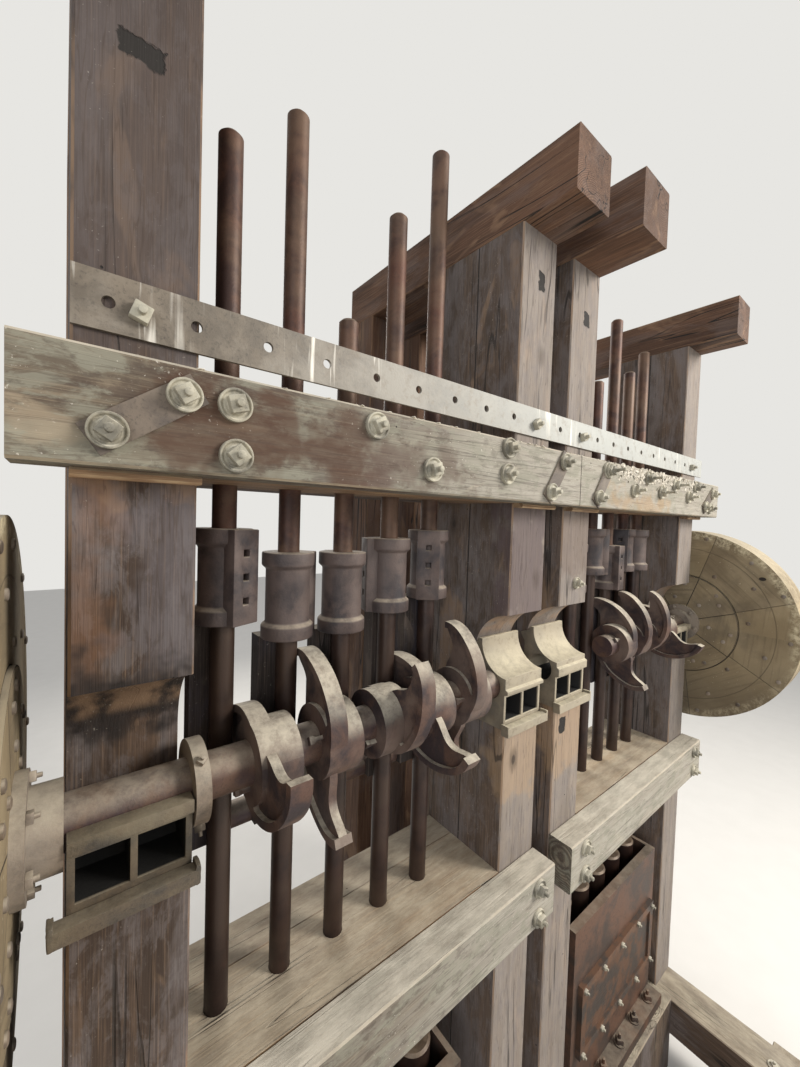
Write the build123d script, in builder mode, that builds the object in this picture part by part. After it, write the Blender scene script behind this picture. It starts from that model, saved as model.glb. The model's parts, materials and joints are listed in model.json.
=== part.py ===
"""Ten-stamp gravity mill: two batteries of five stamps side by side in one timber frame.

+X runs along the mill, +Y from the working side to the back, +Z up.
The origin is on the ground, midway between the batteries and under the middle of the sills.
All sizes are in millimetres.
"""

import os
from math import cos, radians, sin, sqrt

from build123d import *

os.makedirs("parts", exist_ok=True)

# Levels above the ground
mud_sill_height = 300
cross_sill_height = 300
mortar_base_z = 620
cam_floor_z = 3100
camshaft_z = cam_floor_z + 720
post_height = 3150
post_top_z = cam_floor_z + post_height
sill_top_z = mud_sill_height + cross_sill_height

# Battery posts
post_width = 305
post_depth = 600
post_front_y = -400
bay_clear = 1531
post_gap = 178
timber_chamfer = 7

# Notch in the front of each post, where the camshaft bearing sits
seat_z = cam_floor_z + 500
notch_depth = 220
cove_centre_y = -20
cove_centre_z = cam_floor_z + 870
cove_radius = 240

# Sills
cross_sill_length = 3200
mud_sill_width = 300
mud_sill_length = 5200
mud_sill_ys = (-1250, 560, 1250)

# Caps and rear posts
cap_height = 300
cap_fronts = (-330, -285, -375, -330)
cap_rear = 1670
rear_post_depth = 305

# Stamps
stem_radius = 43
stem_bevel = 12
stem_pitch = 254
stem_set_back = 250
first_stems = (-1773, 651.5)
stem_tops = (
    (2957, 3175, 2457, 3017, 3437),
    (3029, 2678, 3209, 2867, 3094),
)
tappet_bottoms = (
    (1203, 1110, 1105, 1165, 1206),
    (1120, 1232, 1105, 1234, 1230),
)
gib_angles = (
    (-20, -125, 0, 75, -100),
    (-90, -30, -140, -160, 80),
)
tappet_radius = 104
tappet_waist = 88
tappet_height = 345
tappet_collar = 52
tappet_slope = 14
gib_width = 112
gib_reach = 120
gib_seat = 20
key_hole = 26
boss_radius = 102
boss_height = 450
shoe_radius = 98
shoe_height = 200
shoe_neck_radius = 70
shoe_neck = 14
die_radius = 100
die_height = 180
hung_height = 300
seat_clearance = 0.3

# Camshafts and cams
shaft_radius = 76
shaft_to_stem = 150
cam_hub_radius = 142
cam_hub_length = 150
cam_rim_width = 72
cam_rim_thickness = 32
cam_web_thickness = 34
cam_stem_clearance = 9
# Outline of one arm: radius against the angle past its tip, first along the lifting face, then inside
cam_face = ((372, 0), (350, 12), (301, 27), (258, 42), (220, 58), (186, 78), (158, 98), (140, 116))
cam_inside = ((340, -1), (300, 1.5), (262, 4.5), (222, 4), (184, -3), (136, -18))
# Angle of one tip of each cam from +Y towards +Z, and whether the cam is turned end for end
cam_phases = (
    ((165, False), (58, False), (125, True), (15, False), (81, False)),
    (None, (52, True), (80, False), (100, False), (8, False)),
)
broken_shaft_stub = 110
collar_radius = 133
collar_length = 45
running_gap = 6

# Camshaft bearings
bearing_bore_clearance = 1.0
bearing_flange = 28
bearing_overhang = 55
bearing_front = 30
bearing_top_z = cam_floor_z + 945
bearing_back = notch_depth - 1
apron_radius = 180
apron_foot = 20
cap_flat = 60
cap_slope = 60
window_height = 165
window_depth = 36
window_wall = 20

# Bull wheels
wheel_radius = 860
wheel_width = 330
wheel_tread = 60
wheel_ring_inner = 450
wheel_ring_thickness = 150
wheel_gap = 125
wheel_disc_proud = 14
hub_flange_radius = 165
hub_flange = 30
hub_sleeve_radius = 118
shaft_end = 60

# Guides
beam_depth = 150
beam_height = 280
beam_above_floor = 1705
beam_bottom_z = cam_floor_z + beam_above_floor
beam_past_post = 110
beam_joint = 6
lower_guide_bottom_z = cam_floor_z - 560
guide_rear_thickness = 110
guide_bore_clearance = 1.0
girt_depth = 200
ledge_height = 24
ledge_depth = 60

# Perforated bar
bar_height = 152
bar_thickness = 12
bar_above_floor = 2145
bar_z = cam_floor_z + bar_above_floor
bar_past_post = 110
bar_hole_radius = 16
bar_hole_pitch = 215
bar_first_hole = 80
bar_hole_count = 21

# Finger jacks
jack_shaft_radius = 50
jack_shaft_set_back = 375
jack_shaft_z = cam_floor_z + 360
finger_width = 145
finger_lap = 45
finger_thickness = 76
finger_drop = 30
finger_gap = 6

# Mortars
mortar_height = 1300
mortar_length = 1300
mortar_flange_height = 80
mortar_flange_width = 680
mortar_body_width = 460
mortar_wall = 60
mortar_floor = 180
mortar_end_wall = 32
feed_flare = 120
feed_sill = 900
feed_height = 240
feed_length = 900
feed_lip = 35
screen_sill = 430
screen_height = 400
screen_length = 1040
screen_thickness = 34
screen_bar = 60
mortar_block_depth = 760

# Straps on the guide beams
strap_width = 84
strap_length = 290
strap_leans = (35, 55, 55, 35)
strap_thickness = 10

# Places worked out from the sizes above
post_lefts = (
    -post_gap / 2 - 2 * post_width - bay_clear,
    -post_gap / 2 - post_width,
    post_gap / 2,
    post_gap / 2 + post_width + bay_clear,
)
mill_half = post_gap / 2 + 2 * post_width + bay_clear
bay_lefts = (-post_gap / 2 - post_width - bay_clear, post_gap / 2 + post_width)
stem_y = post_front_y + stem_set_back
jack_shaft_y = post_front_y + jack_shaft_set_back
camshaft_y = stem_y - shaft_to_stem
die_top_z = mortar_base_z + mortar_floor + die_height
shoe_bottom_z = die_top_z + hung_height
boss_bottom_z = shoe_bottom_z + shoe_height + shoe_neck
boss_top_z = boss_bottom_z + boss_height
hub_start = stem_radius + cam_stem_clearance
sides = ("left", "right")
signs = (-1, 1)


def stem_x(side, place):
    """Centre of a stem, counted from the left in its battery."""
    return first_stems[side] + place * stem_pitch


def timber(name, x, y, z):
    """One squared timber between pairs of limits along X, Y and Z, with eased long edges."""
    with BuildPart() as piece:
        with BuildSketch(Plane.XY.offset(z[0])):
            with Locations(((x[0] + x[1]) / 2, (y[0] + y[1]) / 2)):
                Rectangle(x[1] - x[0], y[1] - y[0])
        extrude(amount=z[1] - z[0])
        spans = {Axis.X: x[1] - x[0], Axis.Y: y[1] - y[0], Axis.Z: z[1] - z[0]}
        grain = max(spans, key=spans.get)
        chamfer(piece.edges().filter_by(grain), timber_chamfer)
    piece.part.label = name
    return piece.part


def save(name, *solids):
    """Write one node, made of one or more separate solids."""
    node = solids[0] if len(solids) == 1 else Compound(label=name, children=list(solids))
    node.label = name
    export_step(node, f"parts/{name}.step")


def battery_post(left):
    """A post with the notch in its front for the camshaft bearing."""
    front = post_front_y
    back = post_front_y + notch_depth
    rise = sqrt(cove_radius**2 - cove_centre_y**2)
    middle = radians(52)
    with BuildPart() as post:
        with BuildSketch(Plane.YZ.offset(left)):
            with BuildLine():
                ThreePointArc(
                    (front, cove_centre_z + rise),
                    (
                        front + cove_centre_y + cove_radius * cos(middle),
                        cove_centre_z + cove_radius * sin(middle),
                    ),
                    (front + cove_centre_y + cove_radius, cove_centre_z),
                )
                Polyline(
                    (front + cove_centre_y + cove_radius, cove_centre_z),
                    (back, seat_z),
                    (front, seat_z),
                    (front, sill_top_z),
                    (front + post_depth, sill_top_z),
                    (front + post_depth, post_top_z),
                    (front, post_top_z),
                    (front, cove_centre_z + rise),
                )
            make_face()
        extrude(amount=post_width)
        chamfer(post.edges().filter_by(Axis.Z).group_by(Axis.Y)[-1], timber_chamfer)
        chamfer(post.edges().filter_by(Axis.Z).group_by(Axis.Y)[0], timber_chamfer)
    return post.part


def polar(radius, angle):
    """A point of the cam's outline from its radius and its angle in degrees."""
    return (radius * cos(radians(angle)), radius * sin(radians(angle)))


def cam(x_stem, phase, turned):
    """A double-armed cam beside its stem, with one tip at the given angle from +Y towards +Z."""
    start = x_stem + hub_start
    across = 1
    if turned:
        start += cam_hub_length
        across = -1
    turn = radians(phase)
    axle = Plane(origin=(start, camshaft_y, camshaft_z), x_dir=(0, cos(turn), sin(turn)), z_dir=(1, 0, 0))
    web_inset = (cam_rim_width - cam_web_thickness) / 2
    outer = [polar(*point) for point in cam_face]
    under = [polar(radius - cam_rim_thickness, angle) for radius, angle in cam_face[:-2]]
    under[0] = polar(*cam_inside[0])
    inside = [polar(*point) for point in cam_inside]
    with BuildSketch() as rim:
        with BuildLine():
            Spline(*outer)
            Spline(*under)
            Line(outer[0], under[0])
            Polyline(outer[-1], (0, 0), under[-1])
        make_face()
    with BuildSketch() as web:
        with BuildLine():
            Spline(*outer)
            Spline(*inside)
            Line(outer[0], inside[0])
            Polyline(outer[-1], (0, 0), inside[-1])
        make_face()
    with BuildPart() as piece:
        with BuildSketch(axle):
            Circle(cam_hub_radius)
        extrude(amount=across * cam_hub_length)
        with BuildSketch(axle):
            with PolarLocations(0, 2):
                add(rim.sketch)
        extrude(amount=across * cam_rim_width)
        with BuildSketch(axle.offset(across * web_inset)):
            with PolarLocations(0, 2):
                add(web.sketch)
        extrude(amount=across * cam_web_thickness)
        with BuildSketch(axle):
            Circle(shaft_radius + seat_clearance)
        extrude(amount=across * cam_hub_length, mode=Mode.SUBTRACT)
    return piece.part


# Ground timbers
save("mud_sills", *[
    timber("mud_sill", (-mud_sill_length / 2, mud_sill_length / 2),
           (y - mud_sill_width / 2, y + mud_sill_width / 2), (0, mud_sill_height))
    for y in mud_sill_ys
])
save("cross_sills", *[
    timber("cross_sill", (left, left + post_width),
           (-cross_sill_length / 2, cross_sill_length / 2), (mud_sill_height, sill_top_z))
    for left in post_lefts
])

# Posts, caps and rear posts
save("battery_posts", *[battery_post(left) for left in post_lefts])
save("post_caps", *[
    timber("post_cap", (left, left + post_width),
           (post_front_y + front, post_front_y + cap_rear), (post_top_z, post_top_z + cap_height))
    for left, front in zip(post_lefts, cap_fronts)
])
save("rear_posts", *[
    timber("rear_post", (left, left + post_width),
           (post_front_y + cap_rear - rear_post_depth, post_front_y + cap_rear), (sill_top_z, post_top_z))
    for left in post_lefts
])

# Front guide beams, rear girts and ledge boards, above and below the cam floor
beam_spans = [
    (-mill_half - beam_past_post, -beam_joint / 2, beam_bottom_z),
    (beam_joint / 2, mill_half + beam_past_post, beam_bottom_z),
]
for left in bay_lefts:
    beam_spans.append((left - post_width, left + bay_clear + post_width, lower_guide_bottom_z))
save("guide_beams", *[
    timber("guide_beam", (start, end), (post_front_y - beam_depth, post_front_y), (z, z + beam_height))
    for start, end, z in beam_spans
])
girt_y = stem_y + guide_rear_thickness
save("rear_girts", *[
    timber("rear_girt", (left, left + bay_clear), (girt_y, girt_y + girt_depth), (z, z + beam_height))
    for left in bay_lefts
    for z in (beam_bottom_z, lower_guide_bottom_z)
])
save("ledge_boards", *[
    timber("ledge_board", (left, left + post_width), (post_front_y - ledge_depth, post_front_y),
           (beam_bottom_z - ledge_height, beam_bottom_z))
    for left in post_lefts
])


def guide_block(left, y, z, side):
    """One half of a wooden guide, with half-round seats for the five stems."""
    with BuildPart() as block:
        with BuildSketch(Plane.XY.offset(z)):
            with Locations((left + bay_clear / 2, (y[0] + y[1]) / 2)):
                Rectangle(bay_clear, y[1] - y[0])
            with Locations(*[(stem_x(side, place), stem_y) for place in range(5)]):
                Circle(stem_radius + guide_bore_clearance, mode=Mode.SUBTRACT)
        extrude(amount=beam_height)
    return block.part


save("guide_blocks", *[
    guide_block(left, y, z, side)
    for z in (beam_bottom_z, lower_guide_bottom_z)
    for side, left in enumerate(bay_lefts)
    for y in ((post_front_y, stem_y - seat_clearance), (stem_y + seat_clearance, girt_y))
])

# Perforated bar along the fronts of the posts
with BuildPart() as bar:
    with BuildSketch(Plane.XZ.offset(-post_front_y)):
        with Locations((bar_past_post / 2, bar_z)):
            Rectangle(2 * mill_half + bar_past_post, bar_height)
        first_hole = -mill_half + bar_first_hole
        with Locations(*[(first_hole + i * bar_hole_pitch, bar_z) for i in range(bar_hole_count)]):
            Circle(bar_hole_radius, mode=Mode.SUBTRACT)
    extrude(amount=bar_thickness)
save("perforated_bar", bar.part)

# Diagonal straps that tie the guide beams to the posts
straps = []
for left, lean in zip(post_lefts, strap_leans):
    spot = (left + post_width / 2, post_front_y - beam_depth, beam_bottom_z + beam_height / 2)
    slope = radians(lean)
    with BuildPart() as strap:
        with BuildSketch(Plane(origin=spot, x_dir=(cos(slope), 0, sin(slope)), z_dir=(0, -1, 0))):
            Rectangle(strap_length, strap_width)
        extrude(amount=strap_thickness)
    straps.append(strap.part)
save("strap_irons", *straps)

# Camshaft bearings
with BuildPart() as bearing:
    front = post_front_y - bearing_front
    arc_middle = radians(45)
    arc_y = post_front_y - bearing_front - apron_foot
    arc_low = bearing_top_z - apron_radius
    with BuildSketch(Plane.YZ):
        with BuildLine():
            Polyline(
                (arc_y, arc_low), (arc_y, arc_low - apron_foot), (front, arc_low - apron_foot),
                (front, seat_z + bearing_flange), (post_front_y - bearing_overhang, seat_z + bearing_flange),
                (post_front_y - bearing_overhang, seat_z), (post_front_y + bearing_back, seat_z),
                (post_front_y + bearing_back, bearing_top_z - cap_slope),
                (arc_y + apron_radius + cap_flat, bearing_top_z), (arc_y + apron_radius, bearing_top_z),
            )
            ThreePointArc(
                (arc_y + apron_radius, bearing_top_z),
                (arc_y + apron_radius * sin(arc_middle), bearing_top_z - apron_radius * cos(arc_middle)),
                (arc_y, arc_low),
            )
        make_face()
    extrude(amount=post_width)
    with BuildSketch(Plane.YZ):
        with Locations((camshaft_y, camshaft_z)):
            Circle(shaft_radius + bearing_bore_clearance)
    extrude(amount=post_width, mode=Mode.SUBTRACT)
    window_width = (post_width - 3 * window_wall) / 2
    with BuildSketch(Plane.XZ.offset(-front)):
        for i in range(2):
            with Locations((window_wall + window_width / 2 + i * (window_width + window_wall),
                            seat_z + bearing_flange + window_wall + window_height / 2)):
                Rectangle(window_width, window_height)
    extrude(amount=-window_depth, mode=Mode.SUBTRACT)
save("camshaft_bearings", *[bearing.part.moved(Location((left, 0, 0))) for left in post_lefts])


def rod(name, x, radius, y=camshaft_y, z=camshaft_z, bore=0):
    """A round bar or ring along X."""
    with BuildPart() as piece:
        with BuildSketch(Plane.YZ.offset(x[0])):
            with Locations((y, z)):
                Circle(radius)
                if bore:
                    Circle(bore, mode=Mode.SUBTRACT)
        extrude(amount=x[1] - x[0])
    piece.part.label = name
    return piece.part


# Camshafts, cams, collars and bull wheels
shaft_outer = mill_half + wheel_gap + wheel_width + shaft_end
inner_ends = (
    -post_gap / 2 - running_gap,
    stem_x(1, 1) + hub_start - broken_shaft_stub,
)
bore = shaft_radius + seat_clearance
for side, sign in enumerate(signs):
    name = sides[side]
    ends = sorted((sign * shaft_outer, inner_ends[side]))
    save(f"camshaft_{name}", rod("camshaft", ends, shaft_radius))
    save(f"cams_{name}", *[
        cam(stem_x(side, place), *stance)
        for place, stance in enumerate(cam_phases[side])
        if stance is not None
    ])
    post_inner = mill_half - post_width
    ends = sorted((sign * (post_inner - running_gap), sign * (post_inner - running_gap - collar_length)))
    save(f"shaft_collar_{name}", rod("shaft_collar", ends, collar_radius, bore=bore))
    face = mill_half + wheel_gap
    with BuildPart() as rim:
        with BuildSketch(Plane.YZ.offset(sign * face)):
            with Locations((camshaft_y, camshaft_z)):
                Circle(wheel_radius)
                Circle(wheel_radius - wheel_tread, mode=Mode.SUBTRACT)
        extrude(amount=sign * wheel_width)
        with BuildSketch(Plane.YZ.offset(sign * face)):
            with Locations((camshaft_y, camshaft_z)):
                Circle(wheel_radius - wheel_tread / 2)
                Circle(wheel_ring_inner, mode=Mode.SUBTRACT)
        extrude(amount=sign * wheel_ring_thickness)
    save(f"wheel_rim_{name}", rim.part)
    disc_faces = (face - wheel_disc_proud, face + wheel_ring_thickness + wheel_disc_proud)
    ends = sorted(sign * x for x in disc_faces)
    save(f"wheel_disc_{name}", rod("wheel_disc", ends, wheel_ring_inner - seat_clearance, bore=bore))
    flange_face = face - wheel_disc_proud - seat_clearance
    with BuildPart() as hub:
        with BuildSketch(Plane.YZ.offset(sign * flange_face)):
            with Locations((camshaft_y, camshaft_z)):
                Circle(hub_flange_radius)
                Circle(bore, mode=Mode.SUBTRACT)
        extrude(amount=-sign * hub_flange)
        with BuildSketch(Plane.YZ.offset(sign * (flange_face - hub_flange))):
            with Locations((camshaft_y, camshaft_z)):
                Circle(hub_sleeve_radius)
                Circle(bore, mode=Mode.SUBTRACT)
        extrude(amount=-sign * (flange_face - hub_flange - mill_half - running_gap))
    save(f"wheel_hub_{name}", hub.part)

# Finger jacks: a shaft behind the stems, and a wooden finger under each tappet
save("jack_shafts", *[
    rod("jack_shaft", (left, left + bay_clear), jack_shaft_radius, jack_shaft_y, jack_shaft_z)
    for left in bay_lefts
])


def finger(side, place):
    """A wooden prop that stands on the jack shaft and holds one tappet up."""
    beside = cam_phases[side][place - 1] if place else None
    width = 2 * finger_lap if beside is not None and beside[1] else finger_width
    x = stem_x(side, place) + finger_lap - width / 2
    y = stem_y + stem_radius + finger_gap + finger_thickness / 2
    top = cam_floor_z + tappet_bottoms[side][place] - seat_clearance
    bottom = jack_shaft_z - finger_drop
    with BuildPart() as prop:
        with BuildSketch(Plane.XY.offset(bottom)):
            with Locations((x, y)):
                Rectangle(width, finger_thickness)
        extrude(amount=top - bottom)
        with BuildSketch(Plane.YZ.offset(x - width)):
            with Locations((jack_shaft_y, jack_shaft_z)):
                Circle(jack_shaft_radius + seat_clearance)
        extrude(amount=2 * width, mode=Mode.SUBTRACT)
    return prop.part


save("jack_fingers", *[finger(side, place) for side in range(2) for place in range(5)])

# Stamps: the stem, the boss head with its shoe, and the tappet keyed on the stem
number = 0
for side in range(2):
    for place in range(5):
        number += 1
        x = stem_x(side, place)
        top = cam_floor_z + stem_tops[side][place]
        section = Plane(origin=(x, stem_y, 0), x_dir=(1, 0, 0), z_dir=(0, -1, 0))
        centreline = Axis((x, stem_y, 0), (0, 0, 1))
        with BuildPart() as stem:
            with BuildSketch(section):
                with BuildLine():
                    Polyline(
                        (0, boss_top_z), (stem_radius, boss_top_z), (stem_radius, top - stem_bevel),
                        (stem_radius - stem_bevel, top), (0, top), (0, boss_top_z),
                    )
                make_face()
            revolve(axis=centreline)
        save(f"stem_{number}", stem.part)
        with BuildPart() as boss:
            with BuildSketch(section):
                with BuildLine():
                    Polyline(
                        (0, shoe_bottom_z), (shoe_radius, shoe_bottom_z),
                        (shoe_radius, shoe_bottom_z + shoe_height),
                        (shoe_neck_radius, shoe_bottom_z + shoe_height),
                        (shoe_neck_radius, boss_bottom_z),
                        (boss_radius, boss_bottom_z), (boss_radius, boss_top_z - stem_bevel),
                        (boss_radius - stem_bevel, boss_top_z), (0, boss_top_z), (0, shoe_bottom_z),
                    )
                make_face()
            revolve(axis=centreline)
        save(f"boss_head_{number}", boss.part)
        bottom = cam_floor_z + tappet_bottoms[side][place]
        with BuildPart() as tappet:
            with BuildSketch(Plane(origin=(x, stem_y, bottom), x_dir=(1, 0, 0), z_dir=(0, -1, 0))):
                with BuildLine():
                    Polyline(
                        (stem_radius + seat_clearance, 0), (tappet_radius, 0), (tappet_radius, tappet_collar),
                        (tappet_waist, tappet_collar + tappet_slope),
                        (tappet_waist, tappet_height - tappet_collar - tappet_slope),
                        (tappet_radius, tappet_height - tappet_collar), (tappet_radius, tappet_height),
                        (stem_radius + seat_clearance, tappet_height), (stem_radius + seat_clearance, 0),
                    )
                make_face()
            revolve(axis=centreline)
            turn = radians(gib_angles[side][place])
            gib = Plane(origin=(x, stem_y, bottom), x_dir=(cos(turn), sin(turn), 0), z_dir=(0, 0, 1))
            gib_start = stem_radius + gib_seat
            with BuildSketch(gib):
                with Locations(((gib_start + gib_reach) / 2, 0)):
                    Rectangle(gib_reach - gib_start, gib_width)
            extrude(amount=tappet_height)
            face = Plane(
                origin=(x + gib_reach * cos(turn), stem_y + gib_reach * sin(turn), bottom),
                x_dir=(-sin(turn), cos(turn), 0), z_dir=(cos(turn), sin(turn), 0))
            with BuildSketch(face):
                with Locations(*[(gib_width / 4, tappet_height * share) for share in (0.25, 0.5, 0.75)]):
                    Rectangle(key_hole, key_hole)
            extrude(amount=-key_hole, mode=Mode.SUBTRACT)
        save(f"tappet_{number}", tappet.part)

# Mortars, dies, screens and mortar blocks
mortars = []
screens = []
dies = []
blocks = []
for side, left in enumerate(bay_lefts):
    centre = stem_x(side, 2)
    low = centre - mortar_length / 2
    half = mortar_body_width / 2
    z = mortar_base_z
    with BuildPart() as mortar:
        with BuildSketch(Plane.YZ.offset(low)):
            with BuildLine():
                Polyline(
                    (stem_y - mortar_flange_width / 2, z), (stem_y + mortar_flange_width / 2, z),
                    (stem_y + mortar_flange_width / 2, z + mortar_flange_height),
                    (stem_y + half, z + mortar_flange_height),
                    (stem_y + half + feed_flare, z + feed_sill),
                    (stem_y + half + feed_flare, z + feed_sill + feed_height),
                    (stem_y + half, z + mortar_height), (stem_y - half, z + mortar_height),
                    (stem_y - half, z + mortar_flange_height),
                    (stem_y - mortar_flange_width / 2, z + mortar_flange_height),
                    (stem_y - mortar_flange_width / 2, z),
                )
            make_face()
        extrude(amount=mortar_length)
        inner = half - mortar_wall
        with BuildSketch(Plane.YZ.offset(low + mortar_end_wall)):
            with BuildLine():
                Polyline(
                    (stem_y - inner, z + mortar_floor), (stem_y + inner, z + mortar_floor),
                    (stem_y + inner + feed_flare, z + feed_sill),
                    (stem_y + inner + feed_flare, z + feed_sill + feed_height - feed_lip),
                    (stem_y + inner, z + mortar_height - feed_lip), (stem_y + inner, z + mortar_height),
                    (stem_y - inner, z + mortar_height), (stem_y - inner, z + mortar_floor),
                )
            make_face()
        extrude(amount=mortar_length - 2 * mortar_end_wall, mode=Mode.SUBTRACT)
        with BuildSketch(Plane.XZ.offset(-(stem_y - half))):
            with Locations((centre, z + screen_sill + screen_height / 2)):
                Rectangle(screen_length, screen_height)
        extrude(amount=-mortar_wall, mode=Mode.SUBTRACT)
        with BuildSketch(Plane.XZ.offset(-(stem_y + inner + feed_flare))):
            with Locations((centre, z + feed_sill + feed_height / 2)):
                Rectangle(feed_length, feed_height - 2 * feed_lip)
        extrude(amount=-mortar_wall, mode=Mode.SUBTRACT)
    mortars.append(mortar.part)
    with BuildPart() as screen:
        with BuildSketch(Plane.XZ.offset(-(stem_y - half))):
            with Locations((centre, z + screen_sill + screen_height / 2)):
                Rectangle(screen_length + 2 * screen_bar, screen_height + 2 * screen_bar)
        extrude(amount=screen_thickness)
        with BuildSketch(Plane.XZ.offset(-(stem_y - half - screen_thickness))):
            with Locations((centre, z + screen_sill + screen_height / 2)):
                Rectangle(screen_length, screen_height)
        extrude(amount=-screen_thickness / 2, mode=Mode.SUBTRACT)
    screens.append(screen.part)
    for place in range(5):
        with BuildPart() as die:
            with BuildSketch(Plane.XY.offset(z + mortar_floor)):
                with Locations((stem_x(side, place), stem_y)):
                    Circle(die_radius)
            extrude(amount=die_height)
        dies.append(die.part)
    blocks.append(timber(
        "mortar_block", (left, left + bay_clear),
        (stem_y - mortar_block_depth / 2, stem_y + mortar_block_depth / 2), (0, mortar_base_z)))
save("mortars", *mortars)
save("dies", *dies)
save("mortar_blocks", *blocks)
save("mortar_screens", *screens)
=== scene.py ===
"""Looks of a ten-stamp gravity mill: weathered timber, dusty iron, and the fittings on both."""

import json
import random
from math import cos, pi, radians, sin

import bmesh
import bpy
from mathutils import Matrix, Vector


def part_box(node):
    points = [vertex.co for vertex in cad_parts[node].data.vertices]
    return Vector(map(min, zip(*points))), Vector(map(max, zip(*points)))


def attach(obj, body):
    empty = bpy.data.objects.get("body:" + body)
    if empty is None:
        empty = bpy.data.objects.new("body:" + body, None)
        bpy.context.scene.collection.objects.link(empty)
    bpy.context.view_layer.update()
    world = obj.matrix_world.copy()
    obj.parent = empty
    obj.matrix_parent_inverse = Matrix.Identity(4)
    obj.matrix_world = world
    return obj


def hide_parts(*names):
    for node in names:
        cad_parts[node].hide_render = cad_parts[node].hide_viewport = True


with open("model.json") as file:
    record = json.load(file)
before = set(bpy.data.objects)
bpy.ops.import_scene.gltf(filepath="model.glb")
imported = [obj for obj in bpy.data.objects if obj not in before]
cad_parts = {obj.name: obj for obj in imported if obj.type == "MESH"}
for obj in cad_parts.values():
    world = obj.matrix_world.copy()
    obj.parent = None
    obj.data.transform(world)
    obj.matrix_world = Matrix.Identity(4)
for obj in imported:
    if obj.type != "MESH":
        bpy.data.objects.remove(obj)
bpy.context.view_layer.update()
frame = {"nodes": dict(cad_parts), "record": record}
nodes = frame["nodes"]

# Sizes of the mill, in metres, as the frame has them
POST_WIDTH = 0.305
POST_FRONT = -0.4
BEAM_DEPTH = 0.15
BEAM_FRONT = POST_FRONT - BEAM_DEPTH
BEAM_LOW, BEAM_HIGH = 4.805, 5.085
BAR_Z = 5.245
BAR_FRONT = -0.412
SHAFT_Y, SHAFT_Z = -0.3, 3.82
POST_LEFTS = (-2.230, -0.394, 0.089, 1.925)
STEM_Y = -0.15
FIRST_STEMS = (-1.773, 0.6515)
STEM_PITCH = 0.254
STEMS = 5

# Wheels: where the face is, the radii of its joints, the place and half size of its hole, and the
# number of its boards with the angle of their first joint
WHEEL_FACE = 2.355
DISC_RADIUS = 0.45
RING_RADIUS = 0.70
HOLE_RADIUS, HOLE_ANGLE = 0.758, radians(141)
HOLE_HALF = (0.024, 0.015)
WHEEL_BOARDS = 7
WHEEL_JOINT = 160

# Bearing castings: left and right of each, then their front, seat, bore, walls and windows, and the
# heights and the depth between which their insides get painted shade, black
CASTINGS = ((-2.230, -1.925), (-0.414, -0.089), (0.069, 0.394), (1.925, 2.230))
BEARING_FRONT = -0.408
SEAT_Z = 3.6
BORE_RADIUS = 0.0778
CASTING_WALL = 0.018
WINDOW_LOW, WINDOW_HIGH = 3.648, 3.776
WINDOW_ROOF = ((-0.27, 3.71), (-0.388, WINDOW_HIGH))
SHADED_POCKET = (3.63, 3.79, -0.404)

# The brow over the windows, and the round hollow of a hooded casting above it
BROW_LOW, BROW_EDGE, BROW_DEPTH = 3.788, 3.796, 0.022
OPEN_BROW, HOODED_BROWS = 0.038, (0.018, 0.045)
HOOD_RADIUS, HOOD_CENTRE_Z = 0.168, 4.045
HOOD_FRONT = BEARING_FRONT - 0.006
HOOD_STEP = 0.008

# The ledge under a bearing's windows: its depth and height, how far it stands past the post,
# where past the post its ends turn up, and how high they rise
LEDGE_DEPTH, LEDGE_HEIGHT = 0.046, 0.044
LEDGE_PAST, LEDGE_TURN, LEDGE_RISE = 0.0275, 0.014, 0.014

# Tappets: radius, collars with their slopes, waist, and the gib box with its key holes
TAPPET_RADIUS, TAPPET_HEIGHT = 0.104, 0.345
COLLAR, COLLAR_SLOPE = 0.052, 0.066
WAIST_SHARE = 0.846
GIB_SIZE = (0.070, 0.112, TAPPET_HEIGHT - 0.002)
GIB_OUT = 0.085
KEY_HOLE = 0.026

# Screens of the mortars: pitch of the punched holes, and the middle and half height of the plate
SCREEN_PITCH = 0.012
SCREEN_Z, SCREEN_HALF = 1.25, 0.2

# Cast washers under square nuts on the timbers, and the radii of the smaller ones
WASHER_RADIUS, WASHER_DEPTH = 0.047, 0.016
STRAP_WASHER, POST_WASHER = 0.044, 0.036
NUT_DEPTH = 0.024
STUD_RADIUS = 0.012

# Other washers (radius, thickness) and nuts (width across the flats, height)
BAR_NUT = (0.047, 0.028)
HUB_NUT = (0.028, 0.016)
COLLAR_SCREW = (0.024, 0.018)
ANCHOR_WASHER, ANCHOR_NUT = (0.04, 0.01), (0.045, 0.045)
SCREEN_NUT = (0.034, 0.018)
DRIFT_WASHER, DRIFT_NUT = (0.04, 0.008), (0.04, 0.022)

# Keys of the cams: size of the key itself, then the shoulder, the head and how much wider that is
KEY_SIZE = (0.022, 0.016, 0.03)
KEY_SHOULDER, KEY_HEAD, HEAD_WIDENING = 0.012, 0.014, 1.9

# Old mortises and broken places in the fronts of the posts: centre and half size
POST_HOLES = (
    ((-2.079, POST_FRONT, 5.936), (0.055, 0.02, 0.03)),
    ((-0.222, POST_FRONT, 6.002), (0.026, 0.02, 0.05)),
    ((0.252, POST_FRONT, 5.950), (0.03, 0.02, 0.04)),
    ((0.180, POST_FRONT, 3.466), (0.035, 0.02, 0.045)),
)
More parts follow.
